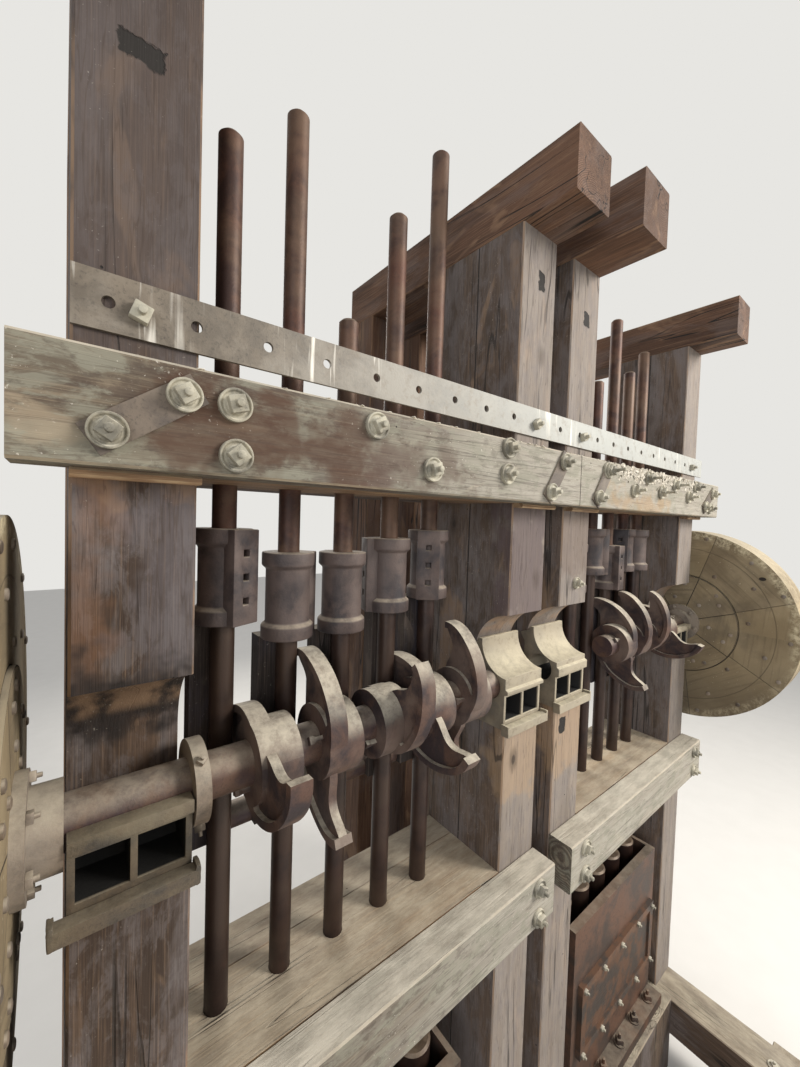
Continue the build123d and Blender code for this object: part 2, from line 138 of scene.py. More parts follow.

# Tinted places on the posts and beams: centre, half size, tint, strength; mostly stains and bare wood,
# but the first post is darker high up, and its near-black band is painted shadow inside its notch
POST_TINTS_AND_SHADOW = (
    ((-2.08, POST_FRONT, 5.75), (0.25, 0.65, 0.62), "#453c39", 0.7),
    ((-2.19, POST_FRONT, 4.55), (0.05, 0.1, 0.33), "#7a5840", 0.45),
    ((-1.99, POST_FRONT, 4.50), (0.10, 0.1, 0.30), "#5d5759", 0.5),
    # Painted shadow inside the notch of the first post
    ((-2.08, POST_FRONT, 4.12), (0.25, 0.3, 0.14), "#1d1613", 0.9),
    ((-2.08, POST_FRONT, 4.79), (0.25, 0.1, 0.03), "#8f7156", 0.5),
    ((-0.24, POST_FRONT, 4.45), (0.19, 0.1, 0.36), "#57494a", 0.7),
    ((0.24, POST_FRONT, 4.60), (0.19, 0.1, 0.20), "#6c5c52", 0.55),
    ((-0.24, POST_FRONT, 3.45), (0.25, 0.1, 0.25), "#a88a66", 0.4),
    ((0.24, POST_FRONT, 3.45), (0.25, 0.1, 0.25), "#b08f68", 0.4),
)
BEAM_STAINS = (
    ((-1.75, BEAM_FRONT, 4.93), (0.33, 0.1, 0.10), "#4a3020", 0.75),
    ((-1.15, BEAM_FRONT, 4.90), (0.25, 0.1, 0.08), "#544036", 0.6),
    ((0.75, BEAM_FRONT, 4.86), (0.45, 0.1, 0.05), "#a08058", 0.5),
)

# Linear colours of cracks, knots and other deep places, and the painted shade inside the bearing
# windows
CRACK_DARK = (0.012, 0.009, 0.007, 1.0)
KNOT_DARK = (0.03, 0.02, 0.014, 1.0)
PIT_DARK = (0.02, 0.015, 0.013, 1.0)
JOINT_DARK = (0.02, 0.014, 0.01, 1.0)
HOLE_DARK = (0.01, 0.01, 0.01, 1.0)
POCKET_SHADE = (0.004, 0.0035, 0.003, 1.0)

# Stretch of a pattern that is alike along all axes
EVEN = (1, 1, 1)

chance = random.Random(1887)


def rgb(code):
    """Linear colour from a painter's hex code."""
    channels = [int(code[i:i + 2], 16) / 255 for i in (1, 3, 5)]
    return tuple(c / 12.92 if c <= 0.04045 else ((c + 0.055) / 1.055) ** 2.4
                 for c in channels) + (1.0,)


class Finish:
    """A material under construction: each step adds nodes and hands back a socket."""

    def __init__(self, name):
        self.material = bpy.data.materials.new(name)
        self.material.use_nodes = True
        self.tree = self.material.node_tree
        self.shader = self.tree.nodes["Principled BSDF"]
        coordinates = self.add("ShaderNodeTexCoord")
        self.place = coordinates.outputs["Object"]
        facing = self.add("ShaderNodeSeparateXYZ")
        self.tree.links.new(coordinates.outputs["Normal"], facing.inputs[0])
        self.facing = facing.outputs
        spot = self.add("ShaderNodeSeparateXYZ")
        self.tree.links.new(self.place, spot.inputs[0])
        self.spot = spot.outputs

    def add(self, kind):
        return self.tree.nodes.new(kind)

    def feed(self, socket, value):
        if isinstance(value, bpy.types.NodeSocket):
            self.tree.links.new(value, socket)
        else:
            socket.default_value = value

    def math(self, operation, a, b=0.0, clamp=False):
        node = self.add("ShaderNodeMath")
        node.operation = operation
        node.use_clamp = clamp
        self.feed(node.inputs[0], a)
        self.feed(node.inputs[1], b)
        return node.outputs[0]

    def times(self, a, b):
        return self.math("MULTIPLY", a, b)

    def plus(self, a, b, clamp=False):
        return self.math("ADD", a, b, clamp)

    def minus(self, a, b):
        return self.math("SUBTRACT", a, b)

    def inverse(self, share):
        return self.math("SUBTRACT", 1.0, share)

    def unsigned(self, value):
        return self.math("ABSOLUTE", value)

    def most(self, a, b):
        return self.math("MAXIMUM", a, b)

    def pattern(self, kind, scale, stretch):
        """A texture on the piece's own coordinates, stretched along its axes."""
        mapping = self.add("ShaderNodeMapping")
        self.feed(mapping.inputs["Vector"], self.place)
        mapping.inputs["Scale"].default_value = stretch
        texture = self.add(kind)
        self.feed(texture.inputs["Vector"], mapping.outputs[0])
        texture.inputs["Scale"].default_value = scale
        return texture

    def noise(self, scale, stretch=EVEN, detail=3.0, rough=0.55, warp=0.0):
        texture = self.pattern("ShaderNodeTexNoise", scale, stretch)
        texture.inputs["Detail"].default_value = detail
        texture.inputs["Roughness"].default_value = rough
        texture.inputs["Distortion"].default_value = warp
        return texture.outputs["Fac"]

    def step(self, value, low, high):
        """0 below low, 1 above high, smooth between."""
        node = self.add("ShaderNodeMapRange")
        node.interpolation_type = "SMOOTHSTEP"
        self.feed(node.inputs["Value"], value)
        node.inputs["From Min"].default_value = low
        node.inputs["From Max"].default_value = high
        return node.outputs["Result"]

    def mix(self, share, a, b):
        node = self.add("ShaderNodeMix")
        node.data_type = "RGBA"
        self.feed(node.inputs[0], share)
        self.feed(node.inputs[6], a)
        self.feed(node.inputs[7], b)
        return node.outputs[2]

    def cover(self, colour, code, share, thickness=1.0):
        """Lay a painter's colour over another, as far as a share and a thickness say."""
        return self.mix(self.times(share, thickness), colour, rgb(code))

    def cells(self, scale, stretch=EVEN):
        """Distance to the nearest of many scattered points."""
        return self.pattern("ShaderNodeTexVoronoi", scale, stretch).outputs["Distance"]

    def rough_box(self, centre, half, scale=30.0, fraying=0.04, soft=0.003):
        """1 inside a box with frayed edges, 0 outside it."""
        fray = self.times(self.minus(self.noise(scale), 0.5), fraying)
        inside = 1.0
        for axis in range(3):
            away = self.unsigned(self.minus(self.spot[axis], centre[axis]))
            edge = self.step(self.plus(away, fray), half[axis] - soft, half[axis] + soft)
            inside = self.times(inside, self.inverse(edge))
        return inside

    def near_line(self, value, middle, width):
        """1 where a value is close to its middle, falling to 0 at the width."""
        away = self.unsigned(self.minus(value, middle))
        return self.inverse(self.step(away, width * 0.3, width))

    def finish(self, colour, rough, height, depth):
        self.feed(self.shader.inputs["Base Color"], colour)
        self.feed(self.shader.inputs["Roughness"], rough)
        bump = self.add("ShaderNodeBump")
        bump.inputs["Strength"].default_value = 1.0
        bump.inputs["Distance"].default_value = depth
        self.feed(bump.inputs["Height"], height)
        self.feed(self.shader.inputs["Normal"], bump.outputs[0])
        return self.material


# Which axis each grain runs along
GRAIN = {"X": 0, "Y": 1, "Z": 2}


def timber(name, grain, dark, middle, pale, dust="#c9bda6", dust_share=0.7, lit_and_dusty_to=None,
           flecks=0.35, film="#7d7471", film_share=0.5, fibre=0.5, mottle=0.0, split=1.0,
           holes=(), seam=None, tints=()):
    """Rough weathered timber along one axis: checks and knots, worn edges, dust on top."""
    f = Finish(name)
    along = GRAIN[grain]

    def drawn_out(share):
        """Stretch of a pattern that is drawn out along the grain."""
        return [share if axis == along else 1.0 for axis in range(3)]

    stretch, fine, patch = drawn_out(0.05), drawn_out(0.015), drawn_out(0.35)

    # The wood itself, its grey film and its bare places
    patches = f.noise(2.2, patch, 4.0, 0.6)
    streaks = f.noise(26.0, stretch, 5.0, 0.62, 0.3)
    fibres = f.noise(170.0, fine, 3.0, 0.6)
    colour = f.mix(f.step(patches, 0.36, 0.64), rgb(middle), rgb(dark))
    colour = f.cover(colour, dark, f.step(streaks, 0.45, 0.72), 0.75)
    colour = f.cover(colour, pale, f.step(fibres, 0.48, 0.7), fibre)
    grime = f.noise(4.3, patch, 6.0, 0.65, 0.5)
    colour = f.cover(colour, film, f.step(grime, 0.46, 0.62), film_share)
    bare = f.step(f.noise(6.5, patch, 3.0, 0.5, 0.8), 0.6, 0.68)
    colour = f.cover(colour, pale, bare, 0.55)

    # Paler towards the right, on the front most of all: partly dust, partly painted light falling from
    # the right
    if lit_and_dusty_to:
        reach = f.step(f.plus(f.spot[0], f.times(patches, 0.6)), -1.7, 0.1)
        lit_front = f.plus(0.15, f.step(f.times(f.facing[1], -1.0), 0.2, 0.8), True)
        share = f.plus(0.25, f.times(streaks, 0.9), True)
        colour = f.cover(colour, lit_and_dusty_to, f.times(reach, lit_front), share)

    # Blotches of film, and rusty ones that get fewer towards the right
    if mottle:
        blotches = f.noise(15.0, drawn_out(0.45), 8.0, 0.72, 0.4)
        colour = f.cover(colour, film, f.step(blotches, 0.47, 0.58), mottle)
        rusty = f.noise(23.0, drawn_out(0.5), 6.0, 0.7)
        fewer = f.inverse(f.step(f.spot[0], -1.4, 0.2))
        some = f.times(f.step(rusty, 0.52, 0.64), fewer)
        colour = f.cover(colour, dark, f.plus(some, 0.1), mottle * 0.8)

    # Tinted places, uneven along the grain: stains and bare wood, and painted shadow where a table
    # gives it
    for centre, half, tint, strength in tints:
        where = f.rough_box(centre, half, 8.0, 0.4, 0.05)
        uneven = f.plus(strength * 0.6, f.times(streaks, strength * 0.8))
        colour = f.cover(colour, tint, where, uneven)

    # Knots, nail holes and cracks along the grain
    eye = f.plus(f.cells(2.6, drawn_out(0.55)), f.times(streaks, 0.04))
    halo = f.inverse(f.step(eye, 0.07, 0.16))
    colour = f.cover(colour, dark, halo, 0.5)
    knot = f.inverse(f.step(eye, 0.05, 0.075))
    colour = f.mix(f.times(knot, 0.8), colour, KNOT_DARK)
    nail = f.inverse(f.step(f.cells(7.0), 0.02, 0.035))
    checks = f.noise(9.0, stretch, 2.0, 0.45, 0.6)
    where = f.step(f.noise(3.1, patch, 2.0), 0.47, 0.6)
    cracks = f.times(f.times(f.near_line(checks, 0.5, 0.014), where), split)
    hair = f.near_line(f.noise(40.0, stretch, 2.0, 0.5, 0.4), 0.5, 0.02)
    colour = f.cover(colour, dark, hair, 0.35)

    # Rings on the ends, then old mortises and the seam between two timbers
    end = f.step(f.unsigned(f.facing[along]), 0.7, 0.9)
    rings = f.math("SINE", f.times(f.cells(2.3), 420.0))
    rings = f.step(f.plus(rings, f.times(f.noise(14.0, EVEN, 4.0), 1.5)), 0.2, 1.4)
    colour = f.cover(colour, dark, end, f.times(rings, 0.55))
    cracks = f.most(cracks, nail)
    for centre, half in holes:
        cracks = f.most(cracks, f.rough_box(centre, half))
    if seam is not None:
        cracks = f.most(cracks, f.near_line(f.spot[1], seam, 0.005))
    colour = f.mix(cracks, colour, CRACK_DARK)

    # Edges worn to bare wood
    corner = f.times(f.facing[0], f.facing[1])
    for a, b in ((1, 2), (0, 2)):
        other = f.unsigned(f.times(f.facing[a], f.facing[b]))
        corner = f.plus(f.unsigned(corner), other)
    worn = f.times(f.step(corner, 0.3, 0.45), f.step(f.noise(12.0, patch, 4.0), 0.35, 0.6))
    colour = f.cover(colour, pale, worn, 0.7)

    # Pale specks all over, and dust on what faces up
    speck = f.step(f.noise(95.0, EVEN, 2.0, 0.7), 0.66, 0.74)
    scattered = f.step(f.noise(2.6, EVEN, 3.0), 0.4, 0.65)
    colour = f.cover(colour, "#d9d2c4", f.times(speck, scattered), flecks)
    up = f.step(f.facing[2], 0.35, 0.95)
    clotted = f.step(f.noise(13.0, patch, 9.0, 0.75), 0.3, 0.7)
    settled = f.plus(0.45, f.times(clotted, 0.6), True)
    colour = f.cover(colour, dust, f.times(up, settled), dust_share)

    height = f.plus(f.times(streaks, 0.55), f.times(fibres, 0.3))
    height = f.minus(height, f.times(cracks, 1.3))
    height = f.plus(height, f.times(knot, 0.4))
    height = f.minus(height, f.times(f.times(end, rings), 0.25))
    rough = f.plus(0.72, f.times(patches, 0.25), True)
    return f.finish(colour, rough, height, 0.006)


def iron(name, dark, rust, dust, dust_share, metal, gloss, scale=1.0, smear=None, drips=0.0,
         lit_and_dusty_to=None, darkened_below=None, shaded_pocket=None, rough_depth=0.0022):
    """Old cast or wrought iron: mottled, pitted, rusty in patches, with dust on what faces up."""
    f = Finish(name)
    clouds = f.noise(7.0 * scale, EVEN, 6.0, 0.62, 0.4)
    pits = f.noise(120.0 * scale, EVEN, 3.0, 0.6)
    blots = f.noise(2.4 * scale, EVEN, 4.0, 0.6)
    colour = f.mix(f.step(clouds, 0.38, 0.62), rgb(dark), rgb(rust))
    colour = f.mix(f.times(f.step(pits, 0.52, 0.7), 0.4), colour, PIT_DARK)

    # A film of grime, a paler side towards the right (partly dust, partly painted light, on the bar a
    # painted sheen), and a darker, glossier part low down
    if smear:
        film = f.step(f.plus(blots, f.times(clouds, 0.4)), 0.6, 0.85)
        colour = f.cover(colour, smear, film, 0.7)
    if lit_and_dusty_to:
        reach = f.step(f.plus(f.spot[0], f.times(clouds, 0.5)), -2.0, 0.9)
        lit_side = f.step(f.minus(f.facing[2], f.facing[1]), 0.2, 0.9)
        reach = f.times(reach, f.plus(0.3, f.times(lit_side, 0.7)))
        colour = f.cover(colour, lit_and_dusty_to, reach, 0.75)
        worn = f.step(f.noise(19.0 * scale, EVEN, 8.0, 0.75), 0.5, 0.66)
        colour = f.cover(colour, rust, worn, 0.45)
    low_darkening = 0.0
    if darkened_below:
        wavy = f.plus(f.spot[2], f.times(f.minus(blots, 0.5), 0.5))
        low_darkening = f.inverse(f.step(wavy, darkened_below - 0.12, darkened_below + 0.12))
        colour = f.cover(colour, "#241b19", low_darkening, 0.72)

    # Pale drips from above, and dust on what faces up
    if drips:
        runs = f.step(f.noise(30.0, (1, 1, 0.06), 3.0, 0.6, 0.2), 0.60, 0.72)
        some = f.step(f.noise(2.0, EVEN, 3.0), 0.42, 0.6)
        colour = f.cover(colour, "#e2ddd2", f.times(runs, some), drips)
    up = f.step(f.facing[2], 0.15, 0.85)
    clotted = f.step(f.noise(18.0, EVEN, 9.0, 0.75), 0.3, 0.68)
    settled = f.plus(0.35, f.times(clotted, 0.7), True)
    dusty = f.times(f.times(up, settled), dust_share)
    if lit_and_dusty_to:
        farther = f.plus(0.25, f.step(f.spot[0], -1.8, -0.6))
        dusty = f.math("MULTIPLY", dusty, farther, True)
    colour = f.cover(colour, dust, dusty)

    # Painted shade: black inside the windows of the bearing castings
    if shaded_pocket:
        low, high, behind = shaded_pocket
        over_sill = f.math("GREATER_THAN", f.spot[2], low)
        under_brow = f.math("LESS_THAN", f.spot[2], high)
        deep = f.step(f.spot[1], behind, behind + 0.008)
        within = 0.0
        for left, right in CASTINGS:
            away = f.unsigned(f.minus(f.spot[0], (left + right) / 2))
            within = f.plus(within, f.math("LESS_THAN", away, (right - left) / 2 - 0.012))
        shade = f.times(f.times(f.times(over_sill, under_brow), deep), within)
        colour = f.mix(shade, colour, POCKET_SHADE)

    f.shader.inputs["Metallic"].default_value = metal
    height = f.plus(f.times(clouds, 0.4), f.times(pits, 0.35))
    rough = f.plus(gloss, f.plus(f.times(clouds, 0.2), f.times(dusty, 0.3)), True)
    rough = f.minus(rough, f.times(low_darkening, 0.12))
    return f.finish(colour, rough, height, rough_depth)


def wheel_boards(name):
    """The wheel's face: two rings of boards, each board's grain square to its radius."""
    f = Finish(name)

    # Where a place lies on the wheel, and in its board
    y = f.minus(f.spot[1], SHAFT_Y)
    z = f.minus(f.spot[2], SHAFT_Z)
    radius = f.math("SQRT", f.plus(f.times(y, y), f.times(z, z)))
    angle = f.math("ARCTAN2", z, y)
    outer = f.math("GREATER_THAN", radius, DISC_RADIUS)
    turns = f.plus(f.times(angle, WHEEL_BOARDS / (2 * pi)), f.times(outer, 0.02))
    turns = f.plus(turns, 20 - WHEEL_JOINT * WHEEL_BOARDS / 360)
    within = f.minus(f.math("FRACT", turns), 0.5)
    swing = f.times(within, 2 * pi / WHEEL_BOARDS)
    from_joint = f.times(f.minus(0.5, f.unsigned(within)), 2 * pi / WHEEL_BOARDS)
    face = f.step(f.unsigned(f.facing[0]), 0.6, 0.9)

    # Joints between the boards and rings, and the oval hole
    joints = f.inverse(f.step(f.times(from_joint, radius), 0.001, 0.004))
    joints = f.times(joints, f.inverse(f.times(outer, 0.45)))
    joints = f.most(joints, f.near_line(radius, DISC_RADIUS, 0.006))
    joints = f.most(joints, f.times(f.near_line(radius, RING_RADIUS, 0.005), 0.35))
    joints = f.times(joints, face)
    hole_y = f.math("DIVIDE", f.minus(y, HOLE_RADIUS * cos(HOLE_ANGLE)), HOLE_HALF[0])
    hole_z = f.math("DIVIDE", f.minus(z, HOLE_RADIUS * sin(HOLE_ANGLE)), HOLE_HALF[1])
    to_hole = f.plus(f.times(hole_y, hole_y), f.times(hole_z, hole_z))
    joints = f.most(joints, f.times(face, f.inverse(f.step(to_hole, 0.8, 1.2))))

    # Each board's own shade and grain
    board = f.plus(f.math("FLOOR", turns), f.times(outer, 3.0))
    shade = f.math("FRACT", f.times(f.math("SINE", f.times(board, 12.9)), 43.7))
    lines = f.add("ShaderNodeCombineXYZ")
    f.feed(lines.inputs[0], f.times(f.times(radius, f.math("COSINE", swing)), 42.0))
    f.feed(lines.inputs[1], f.times(f.times(radius, f.math("SINE", swing)), 2.0))
    f.feed(lines.inputs[2], f.plus(f.times(f.spot[0], 42.0), f.times(board, 7.3)))
    grain = f.add("ShaderNodeTexNoise")
    f.feed(grain.inputs["Vector"], lines.outputs[0])
    grain.inputs["Scale"].default_value = 1.0
    grain.inputs["Detail"].default_value = 6.0
    grain.inputs["Roughness"].default_value = 0.65
    streaks = grain.outputs["Fac"]

    # Stains, a darker lower part, a scuffed rim, flecks and dust
    patches = f.noise(3.0, EVEN, 5.0)
    tints = f.noise(1.4, EVEN, 5.0, 0.6)
    colour = f.mix(f.step(patches, 0.35, 0.65), rgb("#9a8a6e"), rgb("#7b6c54"))
    colour = f.cover(colour, "#54483a", f.step(streaks, 0.48, 0.72), 0.55)
    colour = f.cover(colour, "#ab9670", shade, 0.3)
    colour = f.cover(colour, "#554d43", f.step(tints, 0.5, 0.66), 0.5)
    darker_low = f.inverse(f.step(f.plus(z, f.times(patches, 0.5)), -0.45, 0.1))
    colour = f.cover(colour, "#3d352c", darker_low, 0.55)
    scuffed = f.step(f.noise(16.0, EVEN, 9.0, 0.8), 0.42, 0.62)
    near_rim = f.step(f.plus(radius, f.times(patches, 0.16)), 0.85, 0.91)
    near_rim = f.times(near_rim, f.times(scuffed, f.plus(0.35, face, True)))
    near_rim = f.times(near_rim, f.plus(0.35, f.step(z, -0.5, 0.4), True))
    colour = f.cover(colour, "#d8cbaa", near_rim, 0.95)
    flecks = f.step(f.noise(48.0, EVEN, 2.0, 0.7), 0.68, 0.75)
    colour = f.cover(colour, "#d8cdb4", flecks, 0.5)
    colour = f.mix(joints, colour, JOINT_DARK)
    up = f.step(f.facing[2], 0.35, 0.95)
    colour = f.cover(colour, "#c9bfa9", up, 0.45)
    height = f.minus(f.times(streaks, 0.45), f.times(joints, 1.2))
    rough = f.plus(0.7, f.times(patches, 0.25), True)
    return f.finish(colour, rough, height, 0.004)


def screen_mesh(name):
    """Punched screen plate in an iron frame."""
    f = Finish(name)
    holes = 1.0
    for axis in (0, 2):
        wave = f.math("SINE", f.times(f.spot[axis], 2 * pi / SCREEN_PITCH))
        holes = f.times(holes, f.step(wave, 0.0, 0.6))
    rusty = f.noise(9.0, EVEN, 5.0)
    colour = f.mix(f.step(rusty, 0.4, 0.6), rgb("#4b423c"), rgb("#6a4e3c"))
    plate = f.math("LESS_THAN", f.unsigned(f.minus(f.spot[2], SCREEN_Z)), SCREEN_HALF)
    holes = f.times(holes, plate)
    colour = f.mix(holes, colour, HOLE_DARK)
    f.shader.inputs["Metallic"].default_value = 0.3
    rough = f.plus(0.5, f.times(rusty, 0.3), True)
    return f.finish(colour, rough, f.minus(f.times(rusty, 0.2), holes), 0.002)


# Timbers: name, then grain with dark, middle and pale colour, then what differs from the usual
timbers = (
    ("post_timber", ("Z", "#382a20", "#5d4a3c", "#94785e"),
     dict(lit_and_dusty_to="#978d83", fibre=0.35, film="#77706f", film_share=0.5, mottle=0.35, split=0.7,
          holes=POST_HOLES, seam=-0.1, tints=POST_TINTS_AND_SHADOW)),
    ("cap_timber", ("Y", "#452f22", "#6e4f3b", "#93745a"),
     dict(dust_share=0.5, flecks=0.15, film_share=0.25)),
    ("rear_timber", ("Z", "#452f22", "#6a4d3a", "#8d7056"), dict(flecks=0.15, film_share=0.25)),
    ("girt_timber", ("X", "#3f2f25", "#624b3b", "#866d57"), dict(flecks=0.15, film_share=0.25)),
    ("beam_timber", ("X", "#40322a", "#6a5e4d", "#a09078"),
     dict(lit_and_dusty_to="#b1ab9e", flecks=0.9, fibre=0.4, dust="#d3cbba", dust_share=0.9, film="#8a8878",
          film_share=0.5, mottle=0.6, split=0.2, tints=BEAM_STAINS)),
    ("sill_timber", ("Y", "#3b2e25", "#5c4a3c", "#7f6a57"), {}),
    ("mud_sill_timber", ("X", "#3b2e25", "#5c4a3c", "#7f6a57"), {}),
    ("block_timber", ("Z", "#3c3028", "#5e4d3e", "#80705c"), {}),
    ("guide_wood", ("X", "#57422c", "#86684a", "#a98a66"), dict(flecks=0.1, film_share=0.2)),
    ("ledge_wood", ("X", "#7c6147", "#b08c69", "#cbb08c"), dict(film_share=0.2)),
    ("finger_wood", ("Z", "#2a2320", "#463b35", "#675a50"), dict(flecks=0.2, film="#4a4650")),
)

# Irons: name, then dark, rust and dust colour with dust share, metal and gloss, then what differs
irons = (
    ("bar_iron", ("#5f564b", "#776c5e", "#cdc6b6", 0.7, 0.2, 0.5),
     dict(drips=0.9, smear="#8d867b", lit_and_dusty_to="#b3b6b2")),
    ("strap_iron", ("#544b44", "#6c6054", "#c5bba8", 0.6, 0.2, 0.5), dict(smear="#7d7469")),
    ("stem_iron", ("#3a2620", "#57382b", "#a8957c", 0.4, 0.35, 0.45),
     dict(smear="#6a5544", darkened_below=4.42)),
    ("tappet_iron", ("#2c272a", "#4d3f3a", "#b3a694", 0.85, 0.2, 0.5),
     dict(smear="#655853", rough_depth=0.004)),
    ("shaft_iron", ("#47383a", "#654d40", "#bdb2a0", 0.6, 0.35, 0.42), {}),
    ("cam_iron", ("#352b2d", "#594136", "#d3cab7", 0.9, 0.15, 0.55),
     dict(smear="#74655c", rough_depth=0.004)),
    ("bearing_iron", ("#48433d", "#645747", "#cfc5ac", 0.85, 0.1, 0.55),
     dict(smear="#7d735f", lit_and_dusty_to="#b9ae98", shaded_pocket=SHADED_POCKET, rough_depth=0.004)),
    ("hub_iron", ("#5c5147", "#85725e", "#d0c6b2", 0.65, 0.25, 0.45), dict(smear="#a0968a")),
    ("mortar_iron", ("#453a34", "#664b3c", "#a89b88", 0.5, 0.3, 0.5), dict(scale=0.6)),
    ("die_iron", ("#55504c", "#6d6159", "#8f877c", 0.4, 0.5, 0.35), {}),
    ("washer_iron", ("#6f6b60", "#9b9482", "#e0dac8", 0.85, 0.15, 0.55),
     dict(scale=1.5, smear="#bdb8a6")),
)
finishes = {name: timber(name, *look, **more) for name, look, more in timbers}
finishes.update({name: iron(name, *look, **more) for name, look, more in irons})
finishes["wheel_wood"] = wheel_boards("wheel_wood")
finishes["screen_iron"] = screen_mesh("screen_iron")
dust_layer = Finish("caked_dust")
lumps = dust_layer.noise(60.0, EVEN, 4.0, 0.6)
dust_tone = dust_layer.mix(dust_layer.step(lumps, 0.35, 0.65), rgb("#b9b0a0"), rgb("#ddd6c8"))
finishes["caked_dust"] = dust_layer.finish(dust_tone, 0.95, lumps, 0.003)

# Each node's finish is its slot's, but for two whose grain lies another way
other_grain = {"mud_sills": "mud_sill_timber", "rear_girts": "girt_timber"}
for row in frame["record"]["subparts"]:
    mesh = nodes[row["node"]].data
    mesh.materials.clear()
    mesh.materials.append(finishes[other_grain.get(row["node"], row["material_slot"])])


def fresh():
    """Nothing selected, so that the next operator works on the next piece alone."""
    if bpy.context.mode != "OBJECT":
        bpy.ops.object.mode_set(mode="OBJECT")
    bpy.ops.object.select_all(action="DESELECT")


def alone(piece):
    """One piece selected and active."""
    fresh()
    piece.select_set(True)
    bpy.context.view_layer.objects.active = piece


def pick(test):
    """In edit mode, select the faces that pass a test."""
    bpy.ops.mesh.select_mode(type="FACE")
    mesh = bmesh.from_edit_mesh(bpy.context.object.data)
    for face in mesh.faces:
        face.select_set(test(face))
    bmesh.update_edit_mesh(bpy.context.object.data)


def top_face(height):
    return lambda face: face.normal.z > 0.9 and abs(face.calc_center_median().z - height) < 1e-4


def soften(width, segments=2):
    """Bevel the active piece's edges and apply it."""
    bevel = bpy.context.object.modifiers.new("soften", "BEVEL")
    bevel.width = width
    bevel.segments = segments
    bevel.limit_method = "ANGLE"
    bpy.ops.object.modifier_apply(modifier=bevel.name)


def merge(pieces, name):
    """Join loose pieces into one, which stays the active one."""
    fresh()
    for piece in pieces:
        piece.select_set(True)
    bpy.context.view_layer.objects.active = pieces[0]
    if len(pieces) > 1:
        bpy.ops.object.join()
    piece = bpy.context.object
    piece.name = name
    piece.data.name = name
    bpy.ops.object.transform_apply(location=True, rotation=True, scale=True)
    return piece


def keep(piece, body, slot, finish=None):
    """Give a finished piece its material, and hang it on its body."""
    piece.data.materials.clear()
    piece.data.materials.append(finishes[finish or slot])
    alone(piece)
    bpy.ops.object.shade_smooth_by_angle(angle=radians(35))
    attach(piece, body)


def spread(pattern, places, name):
    """Copy a pattern piece to each place, each copy with its own mesh, and join the copies."""
    copies = []
    for place in places:
        piece = pattern.copy()
        piece.data = pattern.data.copy()
        piece.data.transform(place)
        bpy.context.scene.collection.objects.link(piece)
        copies.append(piece)
    bpy.data.objects.remove(pattern)
    return merge(copies, name)


def outward(direction):
    """Turn a pattern that stands up along +Z so that it stands out along a direction."""
    return Vector(direction).to_track_quat("Z", "Y").to_matrix().to_4x4()


def on_front(x, z, y, turn=0.0):
    """A place on a face that looks to -Y."""
    return Matrix.Translation((x, y, z)) @ outward((0, -1, 0)) @ Matrix.Rotation(turn, 4, "Z")


def cylinder(radius, depth, sides, low=0.0):
    """A cylinder that stands up along +Z from a height."""
    fresh()
    bpy.ops.mesh.primitive_cylinder_add(vertices=sides, radius=radius, depth=depth,
                                        location=(0, 0, low + depth / 2))
    bpy.ops.object.transform_apply(location=True)
    return bpy.context.object


def block(centre, size):
    """A box, which becomes the active piece."""
    fresh()
    bpy.ops.mesh.primitive_cube_add(size=1.0)
    piece = bpy.context.object
    piece.data.transform(Matrix.Translation(centre) @ Matrix.Diagonal((*size, 1.0)))
    return piece


def inset_top(height, steps):
    """Inset the face at a height again and again, each time by (thickness, depth)."""
    bpy.ops.object.mode_set(mode="EDIT")
    pick(top_face(height))
    for thickness, depth in steps:
        bpy.ops.mesh.inset(thickness=thickness, depth=depth)
    bpy.ops.object.mode_set(mode="OBJECT")


def nut_pattern(across, height, sides=4):
    """A nut with its stud's end standing out of it."""
    body = cylinder(across / 2 / cos(pi / sides), height, sides)
    soften(across * 0.06)
    reach = height * 1.75
    stud = cylinder(across * 0.24, reach, 16)
    inset_top(reach, [(across * 0.07, across * 0.04)])
    return merge([body, stud], "nut_pattern")


def washer_pattern(radius, thickness):
    """A cast washer with a raised ring and a hollow round the bolt."""
    body = cylinder(radius, thickness, 40)
    inset_top(thickness, [(radius * 0.14, 0.0), (radius * 0.06, -thickness * 0.35),
                          (radius * 0.16, 0.0), (radius * 0.06, thickness * 0.55)])
    soften(thickness * 0.12)
    return body


def long_stud(radius, reach):
    """A threaded stud standing far out of its nut, its thread cut as close rings."""
    stud = cylinder(radius, reach, 14)
    bpy.ops.object.mode_set(mode="EDIT")
    bpy.ops.mesh.select_all(action="SELECT")
    bpy.ops.mesh.bisect(plane_co=(0, 0, reach * 0.3), plane_no=(0, 0, 1))
    for ring in range(9):
        bpy.ops.mesh.select_all(action="SELECT")
        bpy.ops.mesh.bisect(plane_co=(0, 0, reach * (0.35 + 0.07 * ring)), plane_no=(0, 0, 1))
        width = 0.84 if ring % 2 else 1.0
        bpy.ops.transform.resize(value=(width, width, 1.0))
    bpy.ops.object.mode_set(mode="OBJECT")
    inset_top(reach, [(radius * 0.3, radius * 0.25)])
    return stud


def washer_and_nut(radius):
    """A cast washer and a square nut on it."""
    washer = washer_pattern(radius, WASHER_DEPTH)
    nut = nut_pattern(radius, NUT_DEPTH)
    nut.data.transform(Matrix.Translation((0, 0, WASHER_DEPTH + 0.001)))
    return [washer, nut]


def big_bolts(places, name, radius=WASHER_RADIUS):
    """Cast washers with square nuts and stud ends, on the frame."""
    pattern = merge(washer_and_nut(radius), "bolt_pattern")
    keep(spread(pattern, places, name), "frame", "strap_iron", "washer_iron")


